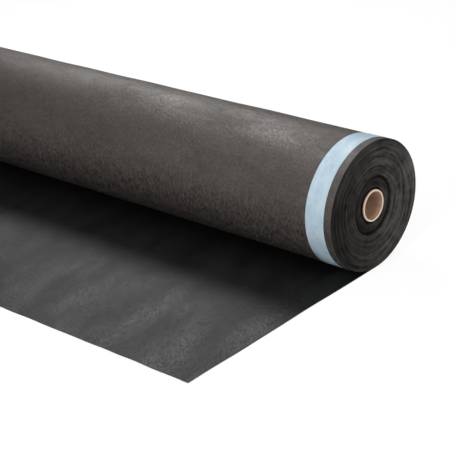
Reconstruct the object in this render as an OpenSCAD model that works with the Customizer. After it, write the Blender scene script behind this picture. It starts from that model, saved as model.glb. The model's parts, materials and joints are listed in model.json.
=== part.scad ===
// Roll of breather membrane: a wide nonwoven sheet wound on a paperboard core,
// with its free end laid out flat in front of the roll and a self-adhesive
// strip, under its release film, along one edge of the outer face.
//
// The roll lies along X. The floor is z = 0, the roll rests on the line y = 0,
// and the free end runs out towards -Y.

/* [Membrane] */
// Width of the sheet, which is the length of the roll
sheet_w = 1500; // [600:10:3000]
// Thickness of one layer of the sheet
sheet_t = 0.79; // [0.5:0.01:1.2]
// Length of sheet that is wound on the core, in metres
wound_len = 49.5; // [15:0.5:80]
// Length of the free end, from the line the roll rests on to the cut edge
laid_len = 475; // [150:5:1200]

/* [Core] */
// Inside diameter of the core tube
core_bore = 50; // [38:1:80]
// Wall of the core tube
core_wall = 3; // [2:0.5:6]
// How much longer the core is cut than the sheet is wide
core_extra = 0; // [-10:1:20]
// How far the core sits towards -X from the middle of the sheet's width
core_offset = 1; // [0:0.5:8]

/* [Adhesive strip] */
// Width of the strip
strip_w = 38; // [20:1:80]
// Thickness of the adhesive with its release film
strip_t = 0.3; // [0.1:0.05:0.4]
// Bare margin between the strip and the sheet's edge
strip_margin = 15; // [5:1:60]

/* [Winding] */
// Number of turns next to the core that slipped sideways as the roll was wound
slipped_turns = 32; // [6:1:40]
// How far those turns sit towards -X
slip = 6; // [2:0.5:10]
// How far the turns between them and the outside sit back on average
sit_back = 1.5; // [0.6:0.1:3]
// How far the turns near the surface stand out towards +X instead
crown = 2.5; // [0:0.5:4]
// How far single turns wander to either side of that
wander = 0.5; // [0.1:0.1:0.5]
// Number of turns over which they rise to that, and fall back again
crown_turns = 12; // [5:1:12]
// Turns that lie edge to edge in each step of the roll's ends
turns_per_step = 4; // [2:1:8]

/* [Hidden] */
$fn = 180;

MM_PER_M = 1000;

core_r = core_bore / 2 + core_wall;
core_len = sheet_w + core_extra;
// The wound length fixes the area of the roll's end, and so its radius.
roll_r = sqrt(core_r * core_r + wound_len * MM_PER_M * sheet_t / PI);
turns = (roll_r - core_r) / sheet_t;

// The outermost turns are in line with the laid sheet, so they belong to it.
cover_r = roll_r - 2 * sheet_t;
// The turned body reaches half a layer into the cover.
body_r = cover_r + sheet_t / 2;
steps = floor((body_r - core_r) / (turns_per_step * sheet_t));
step_r = (body_r - core_r) / steps;

// Where the strip starts and ends along X.
strip_x1 = sheet_w / 2 - strip_margin;
strip_x0 = strip_x1 - strip_w;

// Degrees from one turn to the next of the two waves that the wander is made of.
stray_rates = [67, 151];

// How far turn number n, counted from the core, sits from its place along X.
// Every turn is equally wide, so both ends of the roll show the same offset.
function stray(n) = wander * (sin(stray_rates[0] * n) + sin(stray_rates[1] * n)) / 2;
// Where the turns settle that lie this number of turns under the surface.
function settle(under) =
    lookup(under, [[0, 0], [crown_turns, crown], [2 * crown_turns, -sit_back]]);
function turn_x(n) = stray(n) + (n < slipped_turns ? -slip : settle(turns - n));

// Corners of one end of the winding's profile, as [radius, x], core outwards.
function end_steps(x) = [
    for (i = [0 : steps - 1], r = [i, i + 1])
        [core_r + r * step_r, x + turn_x(i * turns_per_step)]
];

function backwards(list) = [for (i = [len(list) - 1 : -1 : 0]) list[i]];

// Turns the Z axis of its children to +X, at the height of the roll's axis.
module on_axis() {
    translate([0, 0, roll_r]) rotate([0, 90, 0]) children();
}

// Extrudes an outline drawn in the YZ plane from x0 to x1.
module along_x(x0, x1) {
    translate([x0, 0, 0]) rotate([90, 0, 90]) linear_extrude(x1 - x0) children();
}

// The winding: one turned solid whose ends step in and out with its turns.
module winding() {
    on_axis() rotate_extrude()
        polygon(concat(end_steps(-sheet_w / 2), backwards(end_steps(sheet_w / 2))));
}

// The half plane behind (side = 1) or in front of (side = -1) the roll's axis.
module half_plane(side) {
    translate([side > 0 ? 0 : -2 * roll_r, -roll_r]) square([2 * roll_r, 4 * roll_r]);
}

// Outline of the roll and the free end, drawn in by inset from the outer face.
// Behind the axis it is an arc about the axis. In front the centre is half a
// layer higher, so the outline climbs by one layer in a turn and comes down on
// the free end, as a spiral does.
module outline(inset) {
    intersection() {
        translate([0, roll_r]) circle(roll_r - inset);
        half_plane(1);
    }
    intersection() {
        translate([0, roll_r + sheet_t / 2]) circle(roll_r - sheet_t / 2 - inset);
        half_plane(-1);
    }
    translate([-laid_len, inset]) square([laid_len, sheet_t - inset]);
}

// Section through the last turns and the free end.
module cover_section(inset) {
    difference() {
        outline(inset);
        translate([0, roll_r]) circle(cover_r);
    }
}

// The last turns and the free end, all at the sheet's full width, with the seat
// of the strip all round the roll and along the underside of the free end.
module cover() {
    along_x(-sheet_w / 2, strip_x0) cover_section(0);
    along_x(strip_x0, strip_x1) cover_section(strip_t);
    along_x(strip_x1, sheet_w / 2) cover_section(0);
}

module membrane() {
    color("#3d3a38") {
        winding();
        cover();
    }
}

module core() {
    color("#b98a62") translate([-core_offset, 0, 0]) on_axis() difference() {
        cylinder(r = core_r, h = core_len, center = true);
        cylinder(d = core_bore, h = core_len + 2, center = true);
    }
}

module adhesive_strip() {
    color("#bcd3e0") along_x(strip_x0, strip_x1) difference() {
        outline(0);
        outline(strip_t);
    }
}

membrane();
core();
adhesive_strip();
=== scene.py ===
"""Looks of a roll of breather membrane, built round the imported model.

Lengths are metres, in the frame of the model: the roll lies along X and rests
on the line y = 0, z = 0. Its free end is laid out towards -Y.

The membrane is one sheet wound in a spiral. A place in it is given by x, by
s, the distance along the sheet from the line that the roll rests on, and by
depth, how far it lies under the outer face. s is negative on the free end,
and on the roll it grows up the back, over the top and down the front.
"""
import json
import math
import random

import bpy
import numpy as np
from mathutils import Matrix, Vector


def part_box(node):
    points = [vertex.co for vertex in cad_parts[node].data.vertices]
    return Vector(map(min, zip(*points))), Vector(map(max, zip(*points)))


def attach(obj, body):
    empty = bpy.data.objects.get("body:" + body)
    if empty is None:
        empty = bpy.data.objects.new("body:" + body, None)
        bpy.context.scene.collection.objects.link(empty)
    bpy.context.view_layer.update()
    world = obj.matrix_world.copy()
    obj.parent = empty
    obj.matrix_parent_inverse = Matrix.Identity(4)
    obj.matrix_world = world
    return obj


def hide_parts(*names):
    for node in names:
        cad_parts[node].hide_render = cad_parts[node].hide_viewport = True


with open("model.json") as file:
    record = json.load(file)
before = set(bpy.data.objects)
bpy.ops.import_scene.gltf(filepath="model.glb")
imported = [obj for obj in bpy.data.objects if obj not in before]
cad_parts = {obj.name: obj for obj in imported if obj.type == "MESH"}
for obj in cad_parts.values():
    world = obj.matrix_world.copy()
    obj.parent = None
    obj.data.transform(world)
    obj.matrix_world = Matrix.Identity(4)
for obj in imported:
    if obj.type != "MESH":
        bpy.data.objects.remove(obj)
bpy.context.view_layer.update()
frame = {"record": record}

# ---- Sizes from the frame ---------------------------------------------------

MOUNTS = {mount["name"]: mount for mount in frame["record"]["mounts"]}
ROLL_R = MOUNTS["core_bore"]["pos_m"][2]
BORE_R = MOUNTS["core_bore"]["dims"]["r_mm"] / 1000
SHEET_LOW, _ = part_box("membrane")
CORE_LOW, CORE_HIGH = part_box("core")
STRIP_LOW, STRIP_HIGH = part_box("adhesive_strip")
CORE_R = (CORE_HIGH.z - CORE_LOW.z) / 2
HALF_WIDTH = (CORE_HIGH.x - CORE_LOW.x) / 2
LAID = -SHEET_LOW.y

# ---- The sheet --------------------------------------------------------------

SHEET_T = 0.00079
FILM_T = 0.0003
# How far the film stands proud of the sheet on the roll.
FILM_PROUD = 0.0001
TURN = 2 * math.pi
TURNS = (ROLL_R - CORE_R) / SHEET_T
# The roll is this much wider than it is high, because it sags.
SAG = 0.047
# How far the outermost turn stands off the turn under it.
SLACK = 0.0007
# How far the outermost turns lie towards +X of the free end.
DRIFT = 0.0002
# Over this much of s the sheet goes from lying on the floor to being wound.
PICK_UP = 0.05
# Heights of the free end's waves: broad ones, streaks, and puckers along the strip.
BROAD_WAVE = 0.0011
STREAK_WAVE = 0.00065
PUCKER = 0.0006
# Depth of the dents in the roll.
DENT = 0.0006
# The visible sheet ends here, under the roll, where the wound turns take over.
LAST_ANGLE = TURN + math.radians(20)
LAST_S = LAST_ANGLE * ROLL_R


def smooth(value, start, end):
    """0 before start and 1 after end, with a smooth rise between them."""
    t = np.clip((value - start) / (end - start), 0, 1)
    return t * t * (3 - 2 * t)


def band(value, low, high, soft):
    """1 between low and high and 0 outside, with soft edges."""
    return smooth(value, low - soft, low) * (1 - smooth(value, high, high + soft))


def ripples(u, v, seed, shortest, longest, heading=(0, 180), count=14):
    """Sine waves of random direction, length and phase. Their sum is about -1 to 1."""
    draw = random.Random(seed)
    total = np.zeros(np.broadcast(u, v).shape)
    for _ in range(count):
        angle = math.radians(draw.uniform(*heading))
        rate = TURN / draw.uniform(shortest, longest)
        phase = draw.uniform(0, TURN)
        total += np.sin(rate * (u * math.cos(angle) + v * math.sin(angle)) + phase)
    return total / math.sqrt(2 * count)


def over_strip(x, soft=0.0015):
    """1 where the adhesive strip is, across the sheet's width."""
    return band(x, STRIP_LOW.x, STRIP_HIGH.x, soft)


def lift(x, s):
    """How high the free end rises off the floor."""
    free = smooth(-s, 0.06, 0.20)
    broad = ripples(x, s, seed=11, shortest=0.14, longest=0.36)
    streaks = ripples(x, s, seed=12, shortest=0.06, longest=0.14, heading=(5, 40))
    waves = BROAD_WAVE * (1 + broad) + STREAK_WAVE * (1 + streaks)
    beside_strip = band(x, STRIP_LOW.x + 0.002, STRIP_HIGH.x - 0.008, 0.012)
    patches = np.clip(0.5 + 0.5 * ripples(x, s, seed=14, shortest=0.05, longest=0.12), 0, 1)
    creases = ripples(x, s, seed=13, shortest=0.010, longest=0.024, heading=(-20, 100))
    puckers = PUCKER * patches * (1 + creases)
    return free * waves + smooth(-s, 0.10, 0.20) * beside_strip * puckers


def bulge(x, s):
    """How far the roll's surface swells out of its true shape."""
    round_the_roll = smooth(s, 0.04, 0.16) * (1 - smooth(s, 0.52, 0.62))
    along_the_roll = band(x, 0.035 - HALF_WIDTH, HALF_WIDTH - 0.06, 0.03)
    dents = DENT * ripples(x, s, seed=21, shortest=0.12, longest=0.34)
    return round_the_roll * (SLACK + along_the_roll * dents)


def sagged(radius):
    """How much wider than a circle the roll is at this radius."""
    return 1 + SAG * (radius / ROLL_R) ** 2


def on_sheet(x, s, depth):
    """The points at x, s and depth, as an array that ends in x, y, z."""
    x, s, depth = np.broadcast_arrays(x, s, depth)
    angle = np.maximum(s, 0) / ROLL_R
    radius = ROLL_R - SHEET_T * angle / TURN - depth + bulge(x, s)
    y = np.where(s < 0, s, radius * np.sin(angle) * sagged(radius))
    z = np.where(s < 0, depth + lift(x, s), ROLL_R - radius * np.cos(angle))
    return np.stack([x + DRIFT * smooth(s, 0, 0.3), y, z], axis=-1)


def steps(*stops):
    """Values from the first stop to the last: each stop but the first is (value, count)."""
    values = [stops[0]]
    for end, count in stops[1:]:
        values.extend(np.linspace(values[-1], end, count + 1)[1:])
    return np.array(values)


# ---- Meshes -----------------------------------------------------------------

CLOTH_MAP = "Cloth"


def new_piece(name, points, faces, slots, materials, places, sharp=40):
    """A mesh piece on the object's body. places is each point's place on the flat sheet."""
    mesh = bpy.data.meshes.new(name)
    mesh.from_pydata(points.tolist(), [], faces.tolist())
    for material in materials:
        mesh.materials.append(material)
    mesh.polygons.foreach_set("material_index", np.asarray(slots, np.int32))
    corners = np.zeros(len(mesh.loops), np.int32)
    mesh.loops.foreach_get("vertex_index", corners)
    layer = mesh.uv_layers.new(name=CLOTH_MAP)
    layer.uv.foreach_set("vector", places[corners].astype(np.float32).ravel())
    mesh.shade_smooth()
    mesh.set_sharp_from_angle(angle=math.radians(sharp))
    mesh.update()
    piece = bpy.data.objects.new(name, mesh)
    bpy.context.scene.collection.objects.link(piece)
    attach(piece, "root")
    return piece


def grid_faces(rows, columns, first=0):
    """Quads over a grid of rows x columns points that are numbered row by row."""
    corner = first + np.arange(rows - 1)[:, None] * columns + np.arange(columns - 1)
    quads = np.stack([corner, corner + 1, corner + columns + 1, corner + columns], axis=-1)
    return quads.reshape(-1, 4)


def closed_sheet(name, x, s, outer, inner, materials):
    """A thin closed sheet between the depths outer and inner, which are grids over s and x.

    Its materials are those of the outer face, the inner face and the cut edges.
    """
    rows, columns = len(s), len(x)
    across, along = np.meshgrid(x, s)
    layers = [on_sheet(across, along, depth).reshape(-1, 3) for depth in (outer, inner)]
    size = rows * columns
    outer_faces = grid_faces(rows, columns)
    inner_faces = grid_faces(rows, columns, size)[:, ::-1]
    rim = np.concatenate([
        np.arange(columns - 1),
        np.arange(rows - 1) * columns + columns - 1,
        size - 1 - np.arange(columns - 1),
        size - columns - np.arange(rows - 1) * columns,
    ])
    following = np.roll(rim, -1)
    rim_faces = np.stack([following, rim, rim + size, following + size], axis=-1)
    faces = np.concatenate([outer_faces, inner_faces, rim_faces])
    slots = np.repeat([0, 1, 2], [len(outer_faces), len(inner_faces), len(rim_faces)])
    places = np.tile(np.stack([across, along], axis=-1).reshape(-1, 2), (2, 1))
    return new_piece(name, np.concatenate(layers), faces, slots, materials, places)


def make_outer_sheet(materials):
    """The free end and the outermost turn, as one sheet of the real thickness."""
    x = steps(-HALF_WIDTH, (0.66, 200), (HALF_WIDTH, 45))
    s = steps(-LAID, (-0.14, 72), (0, 12), (LAST_S, 96))
    across, along = np.meshgrid(x, s)
    proud = FILM_PROUD * smooth(along, 0, PICK_UP)
    outer = (FILM_T - proud) * over_strip(across)
    sheet = closed_sheet("outer_sheet", x, s, outer, outer + SHEET_T, materials)
    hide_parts("membrane")


def make_film(materials):
    """The release film on the adhesive strip."""
    x = steps(STRIP_LOW.x, (STRIP_LOW.x + 0.001, 2), (STRIP_HIGH.x - 0.001, 14), (STRIP_HIGH.x, 2))
    s = steps(-LAID, (-0.14, 72), (0, 12), (LAST_S, 110))
    across, along = np.meshgrid(x, s)
    outer = -FILM_PROUD * smooth(along, 0, PICK_UP)
    film = closed_sheet("adhesive_film", x, s, outer, outer + FILM_T, materials)
    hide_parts("adhesive_strip")


# ---- The wound turns --------------------------------------------------------

# Points round each turn.
SPOKES = 96
# Depth of the groove between two turns, and where its two crests are across a turn.
GROOVE = 0.0004
CRESTS = (0.22, 0.78)
# How far turns are shifted along the roll: in groups, one by one, and as they lean.
GROUP_SHIFT = 0.00030
TURN_SHIFT = 0.00014
LEAN = 0.00022
# The roll's ends: depth under the surface, and how far the turns there lie towards +X.
END_PROFILE = [
    (0.0000, 0.0000),
    (0.0105, 0.0023),
    (0.0190, 0.0004),
    (0.0300, -0.0006),
    (0.0480, -0.0012),
    (0.0575, -0.0026),
    (0.0592, -0.0024),
    (0.0600, -0.0004),
    (0.0612, -0.0004),
    (0.0618, -0.0085),
    (0.0655, -0.0090),
    (0.0670, -0.0066),
    (0.0710, -0.0058),
    (0.0790, -0.0046),
    (0.0838, -0.0044),
    (0.0846, -0.0034),
    (0.0871, -0.0034),
]
# The middle of the ridge round the turns that slipped.
RIDGE_R = ROLL_R - 0.0606


def turn_shift(angle):
    """How far towards +X the sheet lies at this angle along the spiral."""
    turn = angle / TURN
    depths, shifts = zip(*END_PROFILE)
    profile = np.interp(turn * SHEET_T, depths, shifts)
    groups = GROUP_SHIFT * ripples(turn, 0 * turn, seed=31, shortest=4, longest=15, heading=(0, 0))
    single = TURN_SHIFT * ripples(turn, 0 * turn, seed=32, shortest=1.1, longest=2.6, heading=(0, 0))
    wander = ripples(turn, 0 * turn, seed=33, shortest=9, longest=30, heading=(0, 0))
    lean = LEAN * np.sin(angle + wander)
    return DRIFT + profile + smooth(turn, 1, 6) * (groups + single + lean)


def on_turns(angle, depth, x):
    """Points of the wound turns, depth under the outer face of the turn at this angle."""
    radius = ROLL_R - SHEET_T * angle / TURN - depth
    y = radius * np.sin(angle) * sagged(radius)
    return np.stack([x, y, ROLL_R - radius * np.cos(angle)], axis=-1)


def roll_end(side, ribbon):
    """The points of one end of the roll: the grooves between the turns and their two crests."""
    angle = LAST_ANGLE + np.arange(ribbon + SPOKES + 1) * TURN / SPOKES
    shift = turn_shift(angle)
    outside = turn_shift(np.maximum(angle - TURN, LAST_ANGLE))
    groove = np.minimum(side * shift, side * outside) * side - side * GROOVE
    groove_points = on_turns(angle, 0, side * HALF_WIDTH + groove)
    crest, crest_x = angle[:ribbon + 1], side * HALF_WIDTH + shift[:ribbon + 1]
    crests = [on_turns(crest, share * SHEET_T, crest_x) for share in CRESTS]
    return [groove_points, *crests]


def ribbon_faces(ribbon, first):
    """Quads from groove to crest to crest to the next groove, all along the spiral."""
    m = np.arange(ribbon)
    groove = first + m
    crest_a = first + ribbon + SPOKES + 1 + m
    crest_b = crest_a + ribbon + 1
    lines = [groove, crest_a, crest_b, groove + SPOKES]
    quads = [np.stack([a, b, b + 1, a + 1], axis=-1) for a, b in zip(lines, lines[1:])]
    return np.concatenate(quads)


def make_wound_turns(materials):
    """All the turns under the outermost one: a body whose two ends show the spiral."""
    ribbon = int((TURNS - 1) * SPOKES - LAST_ANGLE / TURN * SPOKES)
    ends = [np.concatenate(roll_end(side, ribbon)) for side in (1, -1)]
    size = len(ends[0])
    faces = [ribbon_faces(ribbon, 0), ribbon_faces(ribbon, size)[:, ::-1]]
    crest_a = ribbon + SPOKES + 1
    crest_b = crest_a + ribbon + 1
    outside = [*range(SPOKES + 1), crest_b, crest_a]
    inside = [ribbon, crest_a + ribbon, crest_b + ribbon, *range(ribbon + SPOKES, ribbon, -1)]
    for loop in (outside, inside):
        loop = np.array(loop)
        following = np.roll(loop, -1)
        faces.append(np.stack([loop, following, following + size, loop + size], axis=-1))
    points = np.concatenate(ends)
    slots = np.repeat([0, 1], [2 * len(faces[0]), len(outside) + len(inside)])
    faces = np.concatenate(faces)
    turns = new_piece("wound_turns", points, faces, slots, materials, points[:, :2], sharp=50)
    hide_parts("membrane")


# ---- The core ---------------------------------------------------------------

CORE_SPOKES = 128
# How much the rims of the tube are eased.
RIM_EASE = 0.0005
BORE, RIM, OUTSIDE = range(3)


def make_core(materials):
    """The paperboard tube, with slightly eased rims.

    Its materials are those of the bore, the rims and the outside.
    """
    low, high = CORE_LOW.x, CORE_HIGH.x
    profile = [
        (low, BORE_R + RIM_EASE), (low, CORE_R - RIM_EASE),
        (low + RIM_EASE, CORE_R), (high - RIM_EASE, CORE_R),
        (high, CORE_R - RIM_EASE), (high, BORE_R + RIM_EASE),
        (high - RIM_EASE, BORE_R), (low + RIM_EASE, BORE_R),
    ]
    slots = [RIM, RIM, OUTSIDE, RIM, RIM, RIM, BORE, RIM]
    x, radius = np.array(profile).T
    turn = np.arange(CORE_SPOKES) * TURN / CORE_SPOKES
    y = np.sin(turn)[:, None] * radius
    z = ROLL_R + np.cos(turn)[:, None] * radius
    points = np.stack([np.broadcast_to(x, y.shape), y, z], axis=-1).reshape(-1, 3)
    count = len(profile)
    corner = np.arange(CORE_SPOKES)[:, None] * count + np.arange(count)
    beside = np.roll(corner, -1, axis=1)
    faces = [corner, beside, np.roll(beside, -1, axis=0), np.roll(corner, -1, axis=0)]
    faces = np.stack(faces, axis=-1).reshape(-1, 4)[:, ::-1]
    core = new_piece("core_tube", points, faces, slots * CORE_SPOKES, materials, points[:, :2])
    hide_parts("core")


# ---- Materials --------------------------------------------------------------


class Graph:
    """A material's node tree, with one short call for each kind of node that it uses."""

    def __init__(self, name, **values):
        self.material = bpy.data.materials.new(name)
        self.material.use_nodes = True
        self.tree = self.material.node_tree
        self.shader = self.tree.nodes["Principled BSDF"]
        for socket, value in values.items():
            self.wire(value, self.shader.inputs[socket.replace("_", " ")])

    def wire(self, value, socket):
        """Links value to the socket if it is a socket, or else sets it there."""
        if isinstance(value, bpy.types.NodeSocket):
            self.tree.links.new(value, socket)
        else:
            socket.default_value = value

    def add(self, kind, inputs=(), **settings):
        """A new node, with its inputs by name or number and its settings."""
        node = self.tree.nodes.new("ShaderNode" + kind)
        for key, value in settings.items():
            setattr(node, key, value)
        for key, value in dict(inputs).items():
            self.wire(value, node.inputs[key])
        return node

    def cloth(self):
        """The place on the flat sheet, in metres."""
        return self.add("UVMap", uv_map=CLOTH_MAP).outputs["UV"]

    def place(self):
        """The place on the object, in metres."""
        return self.add("TexCoord").outputs["Object"]

    def along(self, axis):
        """The place on the object along one axis, in metres."""
        return self.add("SeparateXYZ", {0: self.place()}).outputs[axis]

    def math(self, operation, a, b=0.0):
        """The outcome of one operation on a and b."""
        return self.add("Math", {0: a, 1: b}, operation=operation).outputs[0]

    def blend(self, *parts):
        """The sum of the parts, which are pairs of a weight and a socket."""
        total = 0.0
        for weight, value in parts:
            inputs = {0: value, 1: weight, 2: total}
            total = self.add("Math", inputs, operation="MULTIPLY_ADD").outputs[0]
        return total

    def rings(self, radius, around, width, arcs):
        """Noise in rings of this width, broken up into arcs of about 1 / arcs radians."""
        across = self.math("DIVIDE", radius, width)
        along = self.add("VectorMath", {0: around, "Scale": arcs}, operation="SCALE").outputs[0]
        beside = self.add("CombineXYZ", {"X": across}).outputs[0]
        place = self.add("VectorMath", {0: along, 1: beside}, operation="ADD").outputs[0]
        return self.noise(place, 1.0)

    def span(self, value, low, high, new_low=0.0, new_high=1.0):
        """value moved from the range low to high into the new one, and kept within it."""
        inputs = {"From Min": low, "From Max": high, "To Min": new_low, "To Max": new_high}
        return self.add("MapRange", {"Value": value, **inputs}).outputs[0]

    def noise(self, vector, size, detail=2.0, turn=0.0):
        """Noise whose features have this size, one number or three, turned in the sheet."""
        size = size if hasattr(size, "__len__") else (size,) * 3
        inputs = {"Vector": vector, "Rotation": (0, 0, math.radians(turn)), "Scale": size}
        mapped = self.add("Mapping", inputs, vector_type="TEXTURE")
        return self.add(
            "TexNoise", {"Vector": mapped.outputs[0], "Scale": 1.0, "Detail": detail}
        ).outputs[0]

    def threads(self, vector, width, length, turns):
        """Thin bright lines of this width and length, one set for each angle in turns."""
        total = None
        for turn in turns:
            field = self.noise(vector, (length, width, 1), detail=1.0, turn=turn)
            from_middle = self.math("ABSOLUTE", self.math("SUBTRACT", field, 0.5))
            crest = self.span(from_middle, 0, 0.11, 1, 0)
            total = crest if total is None else self.math("MAXIMUM", total, crest)
        return total

    def mix(self, factor, a, b):
        """The colour a where factor is 0 and b where it is 1."""
        node = self.add("Mix", {0: factor}, data_type="RGBA")
        self.wire((*a, 1.0) if isinstance(a, tuple) else a, node.inputs[6])
        self.wire((*b, 1.0) if isinstance(b, tuple) else b, node.inputs[7])
        return node.outputs[2]

    def colour(self, socket):
        """Sets the shader's base colour."""
        self.wire(socket, self.shader.inputs["Base Color"])

    def roughness(self, socket):
        """Sets the shader's roughness."""
        self.wire(socket, self.shader.inputs["Roughness"])

    def bump(self, height, distance):
        """Sets the shader's fine relief: a height of 1 stands distance metres high."""
        inputs = {"Height": height, "Distance": distance, "Strength": 1.0}
        self.wire(self.add("Bump", inputs).outputs[0], self.shader.inputs["Normal"])


# Linear red, green and blue. Each material lies between a dark and a pale colour.
OUTER_DARK = (0.008, 0.0065, 0.0055)
OUTER_PALE = (0.074, 0.0615, 0.054)
INNER_DARK = (0.0004, 0.0004, 0.0004)
INNER_PALE = (0.0052, 0.0050, 0.0051)
EDGE_DARK = (0.010, 0.009, 0.008)
EDGE_PALE = (0.042, 0.037, 0.034)
TURN_EDGE_DARK = (0.010, 0.009, 0.0086)
TURN_EDGE_PALE = (0.112, 0.103, 0.098)
FILM_DARK = (0.40, 0.535, 0.64)
FILM_PALE = (0.555, 0.675, 0.75)
BORE_COLOURS = ((0.46, 0.295, 0.195), (0.60, 0.415, 0.29))
RIM_COLOURS = ((0.74, 0.59, 0.47), (0.88, 0.73, 0.60))
OUTSIDE_COLOURS = ((0.68, 0.45, 0.31), (0.80, 0.55, 0.39))
# The grain of the paperboard: long along the tube, and short on its cut rims.
WALL_GRAIN = (0.03, 0.004, 0.004)
RIM_GRAIN = 0.0015


def foot_fuzz(graph, cloth):
    """Two crossing sets of strokes, about 0 on average, that fade out up the roll. The strokes are
    the cloth's fibres; their strength near the foot is painted light, fibres caught by grazing
    light.
    """
    share = 0.8
    strokes = [
        (share, graph.noise(cloth, (0.004, 0.015, 1), detail=3, turn=turn)) for turn in (-22, 34)
    ]
    fuzz = graph.math("SUBTRACT", graph.blend(*strokes), share)
    return graph.math("MULTIPLY", fuzz, graph.span(graph.along("Z"), 0.04, 0.17, 1, 0))


def outer_face():
    """Warm grey-black nonwoven: clouded and grainy, with crossing fibres and a soft gloss."""
    graph = Graph(
        "membrane_outer_face",
        Specular_IOR_Level=1.0,
        Specular_Tint=(1.0, 0.935, 0.91, 1.0),
    )
    cloth = graph.cloth()
    clouds = graph.noise(cloth, (0.16, 0.06, 1), detail=3, turn=8)
    flecks = graph.noise(cloth, 0.022)
    patches = graph.noise(cloth, 0.010)
    grain = graph.noise(cloth, 0.0046)
    fibres = graph.threads(cloth, 0.0024, 0.018, (12, 58, 97, 140))
    fuzz = foot_fuzz(graph, cloth)
    shade = graph.blend((0.35, clouds), (0.25, flecks), (0.15, patches), (0.60, grain))
    # The fuzz paints fibres caught by grazing light near the roll's foot.
    shade = graph.blend((1.0, shade), (0.25, fibres), (2.2, fuzz))
    graph.colour(graph.mix(graph.span(shade, 0.64, 1.06), OUTER_DARK, OUTER_PALE))
    gloss = graph.blend((0.9, clouds), (0.05, flecks), (0.1, grain))
    graph.roughness(graph.span(gloss, 0.40, 0.66, 0.66, 0.44))
    graph.bump(graph.blend((0.75, grain), (0.75, fibres), (6.5, fuzz)), 0.00045)
    return graph.material


def inner_face():
    """The smoother and darker side of the sheet, with a smoky sheen where it lies free.

    Right in front of the roll, which presses it flat, it has an even roughness.
    """
    pressed = 0.47
    graph = Graph("membrane_inner_face", Specular_IOR_Level=0.6)
    cloth = graph.cloth()
    smoke = graph.noise(cloth, (0.055, 0.17, 1), detail=3, turn=10)
    swell = graph.noise(cloth, (0.050, 0.12, 1), detail=1, turn=10)
    grain = graph.noise(cloth, (0.0110, 0.0060, 1), detail=3, turn=-6)
    fibres = graph.threads(cloth, 0.0030, 0.020, (70, 100, 130))
    shade = graph.blend((0.4, smoke), (0.7, grain), (0.15, fibres))
    graph.colour(graph.mix(graph.span(shade, 0.50, 0.80), INNER_DARK, INNER_PALE))
    free = graph.span(graph.along("Y"), -0.20, -0.09, 1, 0.15)
    gloss = graph.span(graph.blend((0.9, smoke), (0.1, grain)), 0.36, 0.62, 0.52, 0.64)
    gloss = graph.math("MULTIPLY", graph.math("SUBTRACT", gloss, pressed), free)
    graph.roughness(graph.math("ADD", gloss, pressed))
    relief = graph.blend((0.34, grain), (0.12, fibres), (0.35, swell))
    graph.bump(graph.math("MULTIPLY", relief, free), 0.0020)
    return graph.material


def cut_edge():
    """The sheet's cut edges, where some fibre ends show."""
    graph = Graph("membrane_cut_edge", Roughness=0.85, Specular_IOR_Level=0.1)
    grain = graph.noise(graph.place(), 0.004, detail=3)
    graph.colour(graph.mix(grain, EDGE_DARK, EDGE_PALE))
    return graph.material


def turn_edges():
    """The edges of the wound turns: in fine rings, with painted light and shade: lighter at the
    back, a painted highlight on the ridge, and painted shade in the hollows and next to the core.
    """
    graph = Graph("membrane_turn_edges", Roughness=0.85, Specular_IOR_Level=0.05)
    place = graph.place()
    axis = graph.add("CombineXYZ", {"Z": ROLL_R}).outputs[0]
    arm = graph.add("VectorMath", {0: place, 1: axis}, operation="SUBTRACT").outputs[0]
    arm = graph.add("VectorMath", {0: arm, 1: (0.0, 1.0, 1.0)}, operation="MULTIPLY").outputs[0]
    radius = graph.add("VectorMath", {0: arm}, operation="LENGTH").outputs[1]
    around = graph.add("VectorMath", {0: arm}, operation="NORMALIZE").outputs[0]
    shade = graph.blend(
        (0.40, graph.rings(radius, around, 0.0090, 0.8)),
        (0.85, graph.rings(radius, around, 0.0040, 1.6)),
        (0.60, graph.rings(radius, around, 0.0022, 3.0)),
        (0.30, graph.rings(radius, around, 0.0300, 9.0)),
        (0.35, graph.noise(place, 0.040)),
    )
    tone = graph.mix(graph.span(shade, 0.98, 1.50), TURN_EDGE_DARK, TURN_EDGE_PALE)
    from_end = graph.math("SUBTRACT", HALF_WIDTH, graph.math("ABSOLUTE", graph.along("X")))
    from_ridge = graph.math("ABSOLUTE", graph.math("SUBTRACT", radius, RIDGE_R))
    # Painted light and shade: lighter towards the back and darker towards the front, a painted
    # highlight on the ridge, painted shade on the deeper turns and next to the core.
    for share in (
        # Painted light and shade: lighter towards the back, darker towards the front.
        graph.span(graph.along("Y"), -ROLL_R, ROLL_R, 0.28, 1.32),
        # Painted highlight along the ridge's crest.
        graph.span(from_ridge, 0.0006, 0.0016, 1.35, 1.0),
        # Painted shade in the gap next to the core.
        graph.span(radius, CORE_R + 0.0025, CORE_R + 0.0045, 0.1, 1.0),
        # Painted shade on the turns that lie deeper in the recess.
        graph.span(from_end, 0.0025, 0.0080, 1.0, 0.25),
    ):
        tone = graph.add("VectorMath", {0: tone, "Scale": share}, operation="SCALE").outputs[0]
    graph.colour(tone)
    graph.bump(graph.noise(place, 0.0020), 0.0004)
    return graph.material


def release_film():
    """Pale blue film, softly glossy, with faint patches where it sticks more or less."""
    graph = Graph("release_film", Specular_IOR_Level=0.1)
    cloth = graph.cloth()
    patches = graph.noise(cloth, (0.020, 0.045, 1), detail=3)
    marks = graph.noise(cloth, (0.006, 0.009, 1))
    shade = graph.span(graph.blend((0.7, patches), (0.3, marks)), 0.34, 0.66)
    graph.colour(graph.mix(shade, FILM_DARK, FILM_PALE))
    graph.roughness(graph.span(patches, 0.3, 0.7, 0.52, 0.36))
    graph.bump(graph.blend((1.0, marks), (2.0, patches)), 0.00025)
    return graph.material


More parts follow.
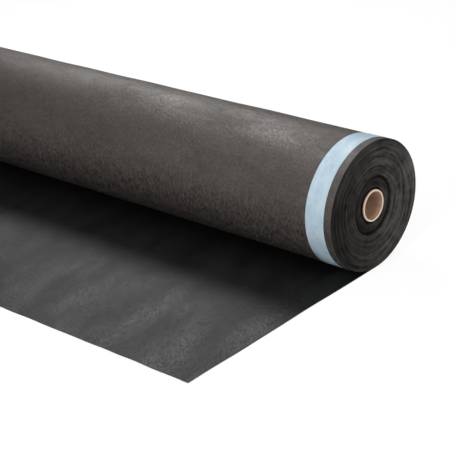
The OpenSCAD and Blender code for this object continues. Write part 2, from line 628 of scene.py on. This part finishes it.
def paperboard(name, colours, size):
    """Brown paperboard between two colours, in grain of this size."""
    graph = Graph(name, Roughness=0.8, Specular_IOR_Level=0.2)
    place = graph.place()
    grain = graph.noise(place, size)
    graph.colour(graph.mix(graph.span(grain, 0.25, 0.75), *colours))
    graph.bump(graph.noise(place, 0.0012), 0.0001)
    return graph.material


# ---- Camera, floor and light ------------------------------------------------

AIM = Vector((0.5823, -0.1849, 0.1030))
CAMERA_DISTANCE = 2.4
CAMERA_AZIMUTH = 43.3
CAMERA_ELEVATION = 24.55
CAMERA_ROLL = -4.24
LENS_MM = 113.0
# The floor lies this far under the object, and this bright the camera sees it.
FLOOR_Z = -0.0005
FLOOR_GLOW = 0.88


def make_camera():
    """A camera that looks at AIM. Azimuth 0 looks along +Y."""
    data = bpy.data.cameras.new("camera")
    data.lens = LENS_MM
    camera = bpy.data.objects.new("camera", data)
    turn = Matrix.Rotation(math.radians(CAMERA_AZIMUTH), 4, "Z")
    turn = turn @ Matrix.Rotation(math.radians(90 - CAMERA_ELEVATION), 4, "X")
    back = turn @ Vector((0, 0, CAMERA_DISTANCE))
    turn = turn @ Matrix.Rotation(math.radians(CAMERA_ROLL), 4, "Z")
    camera.matrix_world = Matrix.Translation(AIM + back) @ turn
    bpy.context.scene.collection.objects.link(camera)
    bpy.context.scene.camera = camera


def make_floor():
    """A pale floor that shows white to the camera and keeps the roll's shadow."""
    bpy.ops.mesh.primitive_plane_add(size=40, location=(0, 0, FLOOR_Z))
    floor = bpy.context.object
    floor.name = "floor"
    graph = Graph("floor", Roughness=0.9, Specular_IOR_Level=0.0)
    seen = graph.add("LightPath").outputs["Is Camera Ray"]
    graph.colour(graph.mix(seen, (0.9, 0.9, 0.9), (0.16, 0.16, 0.16)))
    graph.wire((1.0, 1.0, 1.0, 1.0), graph.shader.inputs["Emission Color"])
    graph.wire(graph.math("MULTIPLY", seen, FLOOR_GLOW), graph.shader.inputs["Emission Strength"])
    floor.data.materials.append(graph.material)


def add_softbox(name, place, target, size, power):
    """A square area lamp that faces target."""
    data = bpy.data.lights.new(name, "AREA")
    data.size = size
    data.energy = power
    lamp = bpy.data.objects.new(name, data)
    lamp.location = place
    lamp.rotation_euler = (Vector(target) - Vector(place)).to_track_quat("-Z", "Y").to_euler()
    bpy.context.scene.collection.objects.link(lamp)


# Name, place, width and power of each lamp. They all face the roll.
SOFTBOXES = [
    ("back_left", (-0.75, 0.93, 1.62), 0.6, 24),
    ("top", (0.4, -0.3, 2.4), 1.0, 4.5),
    ("front", (0.9, -2.1, 1.3), 0.8, 21),
    ("front_left", (-0.8, -1.9, 1.3), 0.9, 4.5),
    ("front_near", (0.9, -1.0, 1.5), 0.7, 9),
    ("side", (2.9, 0.0, 1.0), 0.8, 26),
]
LIT_PLACE = (0.4, -0.1, 0.1)
# How bright the world is to anything but the camera, which sees it white.
WORLD_LEVEL = 0.01


def make_lights():
    """The lamps, and a world that is white to the camera alone."""
    for name, place, size, power in SOFTBOXES:
        add_softbox(name, place, LIT_PLACE, size, power)
    world = bpy.data.worlds.new("studio")
    world.use_nodes = True
    bpy.context.scene.world = world
    tree = world.node_tree
    path = tree.nodes.new("ShaderNodeLightPath")
    level = tree.nodes.new("ShaderNodeMapRange")
    level.inputs["To Min"].default_value = WORLD_LEVEL
    tree.links.new(path.outputs["Is Camera Ray"], level.inputs["Value"])
    background = tree.nodes["Background"]
    background.inputs["Color"].default_value = (1.0, 1.0, 1.0, 1.0)
    tree.links.new(level.outputs[0], background.inputs["Strength"])
    bpy.context.scene.view_settings.view_transform = "Standard"


# ---- Build ------------------------------------------------------------------

make_camera()
make_floor()
make_lights()
edge = cut_edge()
film = release_film()
make_outer_sheet([outer_face(), inner_face(), edge])
make_wound_turns([turn_edges(), edge])
make_film([film, film, film])
make_core([
    paperboard("paperboard_bore", BORE_COLOURS, WALL_GRAIN),
    paperboard("paperboard_rim", RIM_COLOURS, RIM_GRAIN),
    paperboard("paperboard_outside", OUTSIDE_COLOURS, WALL_GRAIN),
])
